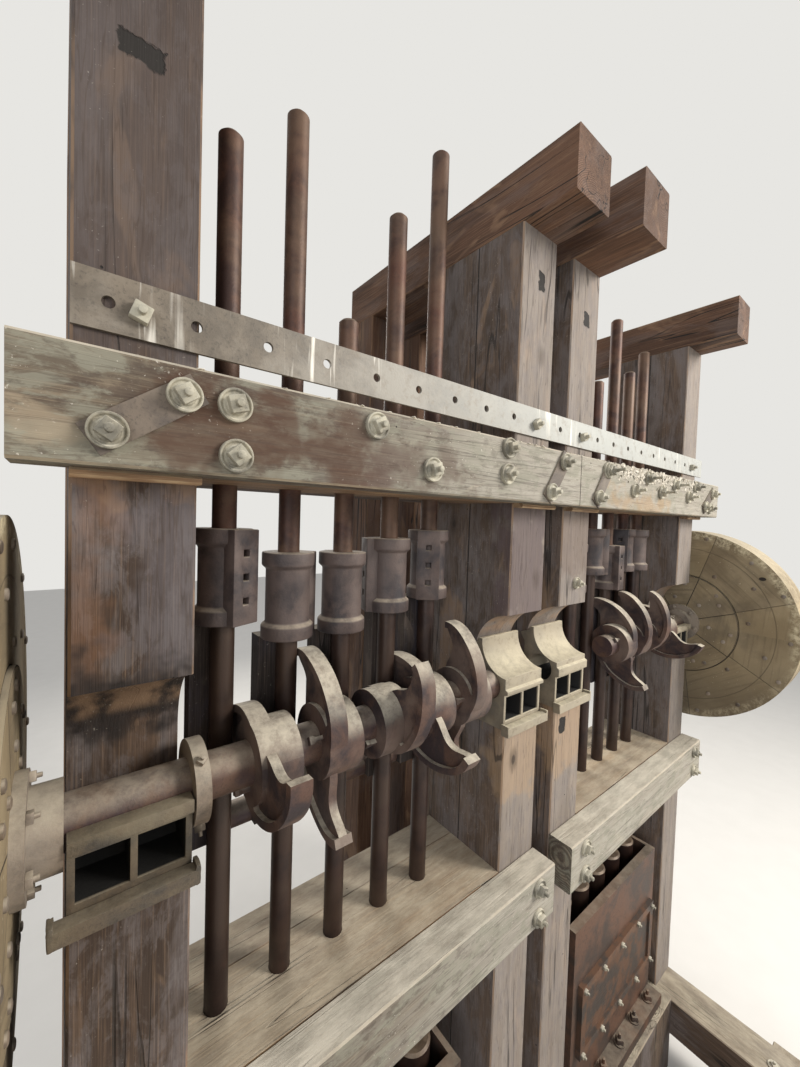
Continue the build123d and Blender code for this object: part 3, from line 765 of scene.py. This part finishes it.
# Bolts through the front guide beams: x and z, and on the right how far the stud stands out
LEFT_BEAM_BOLTS = ((-1.865, 5.003), (-1.860, 4.863), (-1.381, 5.024), (-1.112, 4.898),
                   (-0.644, 5.041), (-0.649, 4.923))
RIGHT_BEAM_BOLTS = ((0.287, 5.029, 0.110), (0.856, 5.031, 0.095), (0.663, 4.937, 0.075),
                    (1.087, 4.951, 0.095), (1.331, 5.018, 0.100), (1.616, 4.948, 0.075),
                    (1.770, 5.037, 0.070), (2.120, 4.880, 0.060))
LOWER_BOLT_ROWS = (2.60, 2.76)
places = [on_front(x, z, BEAM_FRONT, chance.uniform(0, pi)) for x, z in LEFT_BEAM_BOLTS]
big_bolts(places, "beam_bolts")
for number, (x, z, reach) in enumerate(RIGHT_BEAM_BOLTS, start=1):
    bolt = merge(washer_and_nut(WASHER_RADIUS) + [long_stud(STUD_RADIUS, reach)], f"long_bolt_{number}")
    bolt.data.transform(on_front(x, z, BEAM_FRONT, chance.uniform(0, pi)))
    keep(bolt, "frame", "strap_iron", "washer_iron")
post_middles = [left + POST_WIDTH / 2 for left in POST_LEFTS]
places = [on_front(middle, height, BEAM_FRONT, chance.uniform(0, pi))
          for middle in post_middles for height in LOWER_BOLT_ROWS]
big_bolts(places, "lower_beam_bolts")

# Bolts at the two ends of each diagonal strap
STRAP_LEANS = (35, 55, 55, 35)
STRAP_REACH = 0.1
STRAP_DEPTH = 0.01
places = []
for middle, lean in zip(post_middles, STRAP_LEANS):
    for end in (-STRAP_REACH, STRAP_REACH):
        x = middle + end * cos(radians(lean))
        z = (BEAM_LOW + BEAM_HIGH) / 2 + end * sin(radians(lean))
        places.append(on_front(x, z, BEAM_FRONT - STRAP_DEPTH, chance.uniform(0, pi)))
big_bolts(places, "strap_bolts", STRAP_WASHER)

# Nuts that hold the perforated bar to the posts
BAR_NUT_Z = BAR_Z - 0.01
places = [on_front(middle, BAR_NUT_Z, BAR_FRONT, chance.uniform(0, pi)) for middle in post_middles]
keep(spread(nut_pattern(*BAR_NUT), places, "bar_nuts"), "frame", "strap_iron", "washer_iron")

# A lone bolt in the third post, over its bearing
big_bolts([on_front(0.262, 4.341, POST_FRONT, 0.4)], "post_bolt", POST_WASHER)


def flake_pattern():
    """A curled flake of caked dust."""
    fresh()
    bpy.ops.mesh.primitive_circle_add(vertices=7, radius=0.5, fill_type="TRIFAN")
    piece = bpy.context.object
    for corner in piece.data.vertices:
        corner.co.x *= chance.uniform(0.7, 1.3)
        corner.co.z += 0.35 * corner.co.x ** 2 + chance.uniform(0, 0.12)
    wall = piece.modifiers.new("thickness", "SOLIDIFY")
    wall.thickness = 0.14
    bpy.ops.object.modifier_apply(modifier=wall.name)
    return piece


# Caked dust in flakes: on top of the beams, then down the front of the right one
TOP_FLAKES, FRONT_FLAKES = 260, 300
LOWEST_FLAKE = 4.93
flakes = []
for _ in range(TOP_FLAKES):
    x = chance.triangular(-2.3, 2.3, 1.1)
    y = BEAM_FRONT + chance.random() ** 2 * BEAM_DEPTH * 0.9 + 0.004
    size = chance.uniform(0.008, 0.03)
    turn = Matrix.Rotation(chance.uniform(0, 2 * pi), 4, "Z")
    flakes.append(Matrix.Translation((x, y, BEAM_HIGH - 0.001)) @ turn
                  @ Matrix.Diagonal((size, size * 0.8, size * 0.6, 1.0)))
for _ in range(FRONT_FLAKES):
    x = chance.triangular(0.28, 2.0, 0.62)
    z = BEAM_HIGH - 0.004 - abs(chance.gauss(0, 0.045))
    size = chance.uniform(0.012, 0.036)
    nod = Matrix.Rotation(chance.uniform(-0.9, 0.4), 4, "X")
    tilt = nod @ Matrix.Rotation(chance.uniform(-0.5, 0.5), 4, "Y")
    spot = on_front(x, max(z, LOWEST_FLAKE), BEAM_FRONT - 0.002, chance.uniform(0, pi))
    flakes.append(spot @ tilt @ Matrix.Diagonal((size, size * 0.8, size * 0.7, 1.0)))
keep(spread(flake_pattern(), flakes, "dust_flakes"), "frame", "beam_timber", "caked_dust")


def extrusion(outline, low, high):
    """A solid with the outline (y, z), from x low to x high."""
    fresh()
    bpy.ops.mesh.primitive_circle_add(vertices=len(outline), fill_type="NGON")
    piece = bpy.context.object
    for corner, (y, z) in zip(piece.data.vertices, outline):
        corner.co = (low, y, z)
    bpy.ops.object.mode_set(mode="EDIT")
    bpy.ops.mesh.select_all(action="SELECT")
    bpy.ops.mesh.extrude_region_move(TRANSFORM_OT_translate={"value": (high - low, 0, 0)})
    bpy.ops.mesh.select_all(action="SELECT")
    bpy.ops.mesh.normals_make_consistent(inside=False)
    bpy.ops.object.mode_set(mode="OBJECT")
    return piece


def carve(piece, cutter):
    """Cut one piece out of another, and drop the cutter."""
    cut = piece.modifiers.new("cut", "BOOLEAN")
    cut.object = cutter
    cut.solver = "EXACT"
    alone(piece)
    bpy.ops.object.modifier_apply(modifier=cut.name)
    bpy.data.objects.remove(cutter)


def bearing(low, high, outline):
    """A bearing casting on a post, bored for the shaft, with two windows in its front."""
    piece = extrusion(outline, low, high)
    bore = cylinder(BORE_RADIUS, 2 * POST_WIDTH, 72, -POST_WIDTH)
    bore.data.transform(Matrix.Translation(((low + high) / 2, SHAFT_Y, SHAFT_Z)) @ outward((1, 0, 0)))
    carve(piece, bore)
    ahead = BEARING_FRONT - 0.1
    window = ((ahead, WINDOW_LOW), (WINDOW_ROOF[0][0], WINDOW_LOW), *WINDOW_ROOF, (ahead, WINDOW_HIGH))
    width = (high - low - 3 * CASTING_WALL) / 2
    for start in (low + CASTING_WALL, low + 2 * CASTING_WALL + width):
        carve(piece, extrusion(window, start, start + width))
    soften(0.003)
    return piece


# Outlines of the bearing castings (y, z): the middle two keep their hooded caps, and the outer two
# have lost them and lie open
bearing_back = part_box("camshaft_bearings")[1].y
under = [(bearing_back, SEAT_Z), (BEARING_FRONT, SEAT_Z)]
hollow = [(HOOD_FRONT + HOOD_RADIUS * sin(radians(turn)),
           HOOD_CENTRE_Z - HOOD_RADIUS * cos(radians(turn))) for turn in range(0, 91, 9)]
lip = [(BEARING_FRONT + 0.162, 4.056), (BEARING_FRONT + 0.184, 4.056), (BEARING_FRONT + 0.198, 4.032),
       (BEARING_FRONT + 0.26, 4.005), (bearing_back, 3.955)]


def front(brow):
    """The brow over the windows, of the given thickness, from its underside up."""
    edge = BEARING_FRONT - BROW_DEPTH
    return [(BEARING_FRONT, BROW_LOW), (edge, BROW_EDGE), (edge, BROW_EDGE + brow)]


def hooded(brow):
    """A casting whose hollow front curves back over its brow to the hood's lip."""
    return under + front(brow) + [(HOOD_FRONT, BROW_EDGE + brow + HOOD_STEP)] + hollow + lip


uncapped = under + front(OPEN_BROW) + [(bearing_back, BROW_EDGE + OPEN_BROW)]
outlines = [uncapped] + [hooded(brow) for brow in HOODED_BROWS] + [uncapped]
castings = [bearing(low, high, outline) for (low, high), outline in zip(CASTINGS, outlines)]
bearings = merge(castings, "bearing_castings")
keep(bearings, "frame", "bearing_iron")
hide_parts("camshaft_bearings")


def ledge_pattern():
    """The thick ledge under a bearing's windows, its ends turned up and its edges worn."""
    width = POST_WIDTH + 2 * LEDGE_PAST
    piece = block((0, 0, LEDGE_HEIGHT / 2), (width, LEDGE_DEPTH, LEDGE_HEIGHT))
    bpy.ops.object.mode_set(mode="EDIT")
    bpy.ops.mesh.select_all(action="SELECT")
    turned = POST_WIDTH / 2 + LEDGE_TURN
    for x in (-turned, turned):
        bpy.ops.mesh.bisect(plane_co=(x, 0, 0), plane_no=(1, 0, 0))
        bpy.ops.mesh.select_all(action="SELECT")
    pick(lambda face: face.normal.z > 0.9 and abs(face.calc_center_median().x) > POST_WIDTH / 2)
    bpy.ops.mesh.extrude_region_move(TRANSFORM_OT_translate={"value": (0, 0, LEDGE_RISE)})
    bpy.ops.mesh.select_all(action="SELECT")
    bpy.ops.mesh.subdivide(number_cuts=2)
    bpy.ops.object.mode_set(mode="OBJECT")
    for corner in piece.data.vertices:
        corner.co += Vector([chance.uniform(-1, 1) for _ in range(3)]) * 0.0014
    soften(0.004)
    return piece


places = [Matrix.Translation((middle - 0.012, BEARING_FRONT - 0.0255, SEAT_Z - 0.014))
          for middle in post_middles]
keep(spread(ledge_pattern(), places, "bearing_ledges"), "frame", "bearing_iron")


def on_wheel(sign, radius, angle, x, turn=0.0):
    """A place on a face of a wheel that looks towards the mill's middle."""
    return (Matrix.Translation((sign * x, SHAFT_Y + radius * cos(angle), SHAFT_Z + radius * sin(angle)))
            @ outward((-sign, 0, 0)) @ Matrix.Rotation(turn, 4, "Z"))


# Bolts in the wheels' faces (radius, degrees from the middle of each board), nuts on their hubs
# and square-headed set screws in the collars
INNER_BOLTS = ((0.40, 0), (0.365, 12), (0.235, -4))
OUTER_BOLTS = ((0.52, -15), (0.66, 10), (0.79, -4), (0.81, 20))
INNER_FACE = WHEEL_FACE - 0.014
HEAD_RADIUS, HEAD_DEPTH = 0.016, 0.006
HUB_RADIUS, HUB_FACE = 0.142, WHEEL_FACE - 0.0443
COLLAR_RADIUS = 0.132
for name, sign in (("left", -1), ("right", 1)):
    places = []
    for i in range(WHEEL_BOARDS):
        middle = WHEEL_JOINT + 360 / WHEEL_BOARDS * (i + 0.5)
        for face, bolts in ((INNER_FACE, INNER_BOLTS), (WHEEL_FACE, OUTER_BOLTS)):
            for radius, offset in bolts:
                angle = radians(middle + offset)
                places.append(on_wheel(sign, radius, angle, face, chance.uniform(0, pi)))
    head = cylinder(HEAD_RADIUS, HEAD_DEPTH, 16)
    inset_top(HEAD_DEPTH, [(0.004, 0.002), (0.004, 0.001)])
    keep(spread(head, places, f"wheel_bolts_{name}"), f"camshaft_{name}", "hub_iron")
    places = [on_wheel(sign, HUB_RADIUS, radians(15 + 60 * i), HUB_FACE, 0.3 * i) for i in range(6)]
    keep(spread(nut_pattern(*HUB_NUT), places, f"hub_nuts_{name}"), f"camshaft_{name}", "hub_iron")
    collar_low, collar_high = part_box(f"shaft_collar_{name}")
    places = []
    for angle in (radians(130), radians(235)):
        away = Vector((0, cos(angle), sin(angle)))
        spot = Vector(((collar_low.x + collar_high.x) / 2, SHAFT_Y, SHAFT_Z)) + away * COLLAR_RADIUS
        places.append(Matrix.Translation(spot) @ outward(away))
    screws = spread(nut_pattern(*COLLAR_SCREW), places, f"collar_screws_{name}")
    keep(screws, f"camshaft_{name}", "hub_iron")


def tappet_pattern():
    """A cast tappet: thick collars, a waist, and a flat gib box towards +X with three key holes."""
    piece = cylinder(TAPPET_RADIUS, TAPPET_HEIGHT, 64)
    bpy.ops.object.mode_set(mode="EDIT")
    for height in (COLLAR, COLLAR_SLOPE, TAPPET_HEIGHT - COLLAR_SLOPE, TAPPET_HEIGHT - COLLAR):
        bpy.ops.mesh.select_all(action="SELECT")
        bpy.ops.mesh.bisect(plane_co=(0, 0, height), plane_no=(0, 0, 1))
    pick(lambda face: abs(face.calc_center_median().z - TAPPET_HEIGHT / 2) < 0.05)
    bpy.ops.transform.resize(value=(WAIST_SHARE, WAIST_SHARE, 1.0), center_override=(0, 0, 0))
    bpy.ops.object.mode_set(mode="OBJECT")
    soften(0.005, 3)
    gib = block((GIB_OUT, 0, TAPPET_HEIGHT / 2), GIB_SIZE)
    for share in (0.25, 0.5, 0.75):
        carve(gib, block((GIB_OUT + 0.03, 0, TAPPET_HEIGHT * share), (0.05, KEY_HOLE, KEY_HOLE)))
    soften(0.004)
    return merge([piece, gib], "tappet_pattern")


# Tappets, each turned on its stem with its gib box as it stands
GIB_TURNS = (-66, 30, 75, 160, -130, 150, -30, -85, -160, 80)
stem_places = [first + place * STEM_PITCH for first in FIRST_STEMS for place in range(STEMS)]
for number, (x, turn) in enumerate(zip(stem_places, GIB_TURNS), start=1):
    tappet_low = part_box(f"tappet_{number}")[0]
    place = Matrix.Translation((x, STEM_Y, tappet_low.z)) @ Matrix.Rotation(radians(turn), 4, "Z")
    cast_tappet = spread(tappet_pattern(), [place], f"cast_tappet_{number}")
    keep(cast_tappet, f"stamp_{number}", "tappet_iron")
    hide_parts(f"tappet_{number}")


def key_pattern():
    """A gib-headed key, along -Z from its wider head."""
    piece = block((0, 0, 0), KEY_SIZE)
    bpy.ops.object.mode_set(mode="EDIT")
    pick(lambda face: face.normal.z > 0.9)
    bpy.ops.mesh.extrude_region_move(TRANSFORM_OT_translate={"value": (0, 0, KEY_SHOULDER)})
    bpy.ops.transform.resize(value=(1.0, HEAD_WIDENING, 1.0))
    bpy.ops.mesh.extrude_region_move(TRANSFORM_OT_translate={"value": (0, 0, KEY_HEAD)})
    bpy.ops.object.mode_set(mode="OBJECT")
    soften(0.002)
    return piece


# Keys at the hub ends of the cams: (battery, gap to the right of which stem, tip angle)
CAM_KEYS = {
    "left": ((0, 165), (1, 58), (2, 125), (3, 15), (4, 81)),
    "right": ((1, 52), (2, 80), (3, 100), (4, 8)),
}
HUB_END = 0.052 - 0.012
KEY_RADIUS = 0.084
for (name, keys), first in zip(CAM_KEYS.items(), FIRST_STEMS):
    places = []
    for place, angle in keys:
        turn = radians(angle + 90)
        spot = (first + place * STEM_PITCH + HUB_END,
                SHAFT_Y + KEY_RADIUS * cos(turn), SHAFT_Z + KEY_RADIUS * sin(turn))
        places.append(Matrix.Translation(spot) @ Matrix.Rotation(turn, 4, "X") @ outward((-1, 0, 0)))
    keep(spread(key_pattern(), places, f"cam_keys_{name}"), f"camshaft_{name}", "cam_iron")

# Anchor bolts along the mortars' base flanges, under each stem in front and behind
ANCHOR_ROWS = (0.06, 0.62)
FLANGE = 0.08
mortar_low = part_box("mortars")[0]
places = [Matrix.Translation((x, mortar_low.y + row, mortar_low.z + FLANGE))
          for x in stem_places for row in ANCHOR_ROWS]
anchor = merge([washer_pattern(*ANCHOR_WASHER), nut_pattern(*ANCHOR_NUT)], "anchor")
keep(spread(anchor, places, "anchor_bolts"), "frame", "mortar_iron")

# Nuts along the upper and lower edges of the mortars' screens
SCREEN_COLUMNS = (-0.55, -0.28, 0.0, 0.28, 0.55)
SCREEN_EDGE = 0.03
screen_low, screen_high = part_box("mortar_screens")
places = [on_front(first + 2 * STEM_PITCH + x, z, screen_low.y)
          for first in FIRST_STEMS for x in SCREEN_COLUMNS
          for z in (screen_low.z + SCREEN_EDGE, screen_high.z - SCREEN_EDGE)]
screen_nut = nut_pattern(*SCREEN_NUT, sides=6)
keep(spread(screen_nut, places, "screen_nuts"), "frame", "screen_iron", "washer_iron")

# Drift bolts in the tops of the caps and at the ends of the cross sills
CAP_ROWS = (-0.22, 0.05, 1.05, 1.17)
SILL_ROWS = (-1.31, -1.19, 1.19, 1.31)
cap_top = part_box("post_caps")[1].z
sill_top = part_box("cross_sills")[1].z
places = []
for left in POST_LEFTS:
    for y in CAP_ROWS:
        places.append(Matrix.Translation((left + chance.uniform(0.1, 0.2), y, cap_top)))
    for y in SILL_ROWS:
        places.append(Matrix.Translation((left + chance.uniform(0.12, 0.18), y, sill_top)))
drift = merge([washer_pattern(*DRIFT_WASHER), nut_pattern(*DRIFT_NUT)], "drift")
keep(spread(drift, places, "drift_bolts"), "frame", "strap_iron", "washer_iron")

# Camera at the photograph's place: place, then yaw, pitch and roll
CAMERA_PLACE = (-2.2425, -1.7882, 4.70)
yaw, pitch, roll = 0.6702157, -0.0328186, 0.0316840
camera_data = bpy.data.cameras.new("camera")
camera = bpy.data.objects.new("camera", camera_data)
bpy.context.scene.collection.objects.link(camera)
camera_data.sensor_width = 36.0
camera_data.lens = 14.397
camera_data.clip_end = 200.0
ahead = Vector((sin(yaw) * cos(pitch), cos(yaw) * cos(pitch), sin(pitch)))
side = Vector((cos(yaw), -sin(yaw), 0.0))
above = side.cross(ahead)
side, above = side * cos(roll) + above * sin(roll), above * cos(roll) - side * sin(roll)
facing = Matrix((side, above, -ahead)).transposed().to_4x4()
camera.matrix_world = Matrix.Translation(CAMERA_PLACE) @ facing
bpy.context.scene.camera = camera

# Plain floor and soft studio light
fresh()
bpy.ops.mesh.primitive_plane_add(size=60, location=(0, 0, 0))
floor = bpy.context.object
floor.name = "floor"
floor_finish = Finish("floor_paint")
tone = floor_finish.mix(floor_finish.noise(3.0), (0.80, 0.78, 0.74, 1.0), (0.74, 0.72, 0.68, 1.0))
floor.data.materials.append(floor_finish.finish(tone, 0.9, floor_finish.noise(60.0), 0.0005))


def lamp(name, place, target, size, power, colour):
    """A square lamp of a given width, aimed at a target."""
    light = bpy.data.lights.new(name, "AREA")
    light.size = size
    light.energy = power
    light.color = colour
    holder = bpy.data.objects.new(name, light)
    bpy.context.scene.collection.objects.link(holder)
    aim = Vector(target) - Vector(place)
    holder.matrix_world = Matrix.Translation(place) @ aim.to_track_quat("-Z", "Y").to_matrix().to_4x4()


lamp("key", (6.5, -8.0, 9.0), (0.0, 0.0, 3.8), 4.0, 1500, (1.0, 0.96, 0.9))
lamp("fill", (-8.0, -7.0, 6.0), (0.0, 0.0, 3.8), 5.0, 350, (0.95, 0.97, 1.0))
lamp("back", (2.0, 9.0, 8.0), (0.0, 0.0, 4.0), 5.0, 500, (1.0, 0.97, 0.92))

# Air that lights the mill softly, with a plain paler backdrop for the camera and for reflections
world = bpy.data.worlds.new("studio")
bpy.context.scene.world = world
world.use_nodes = True
tree = world.node_tree
path = tree.nodes.new("ShaderNodeLightPath")
seen = path.outputs["Is Camera Ray"]
for ray in ("Is Glossy Ray", "Is Transmission Ray"):
    either = tree.nodes.new("ShaderNodeMath")
    either.operation = "MAXIMUM"
    tree.links.new(seen, either.inputs[0])
    tree.links.new(path.outputs[ray], either.inputs[1])
    seen = either.outputs[0]
air = tree.nodes["Background"]
air.inputs["Color"].default_value = (0.93, 0.94, 0.96, 1.0)
air.inputs["Strength"].default_value = 0.5
backdrop = tree.nodes.new("ShaderNodeBackground")
backdrop.inputs["Color"].default_value = (0.80, 0.79, 0.76, 1.0)
backdrop.inputs["Strength"].default_value = 1.0
blend = tree.nodes.new("ShaderNodeMixShader")
tree.links.new(seen, blend.inputs[0])
tree.links.new(air.outputs[0], blend.inputs[1])
tree.links.new(backdrop.outputs[0], blend.inputs[2])
tree.links.new(blend.outputs[0], tree.nodes["World Output"].inputs[0])

bpy.context.scene.view_settings.view_transform = "Standard"
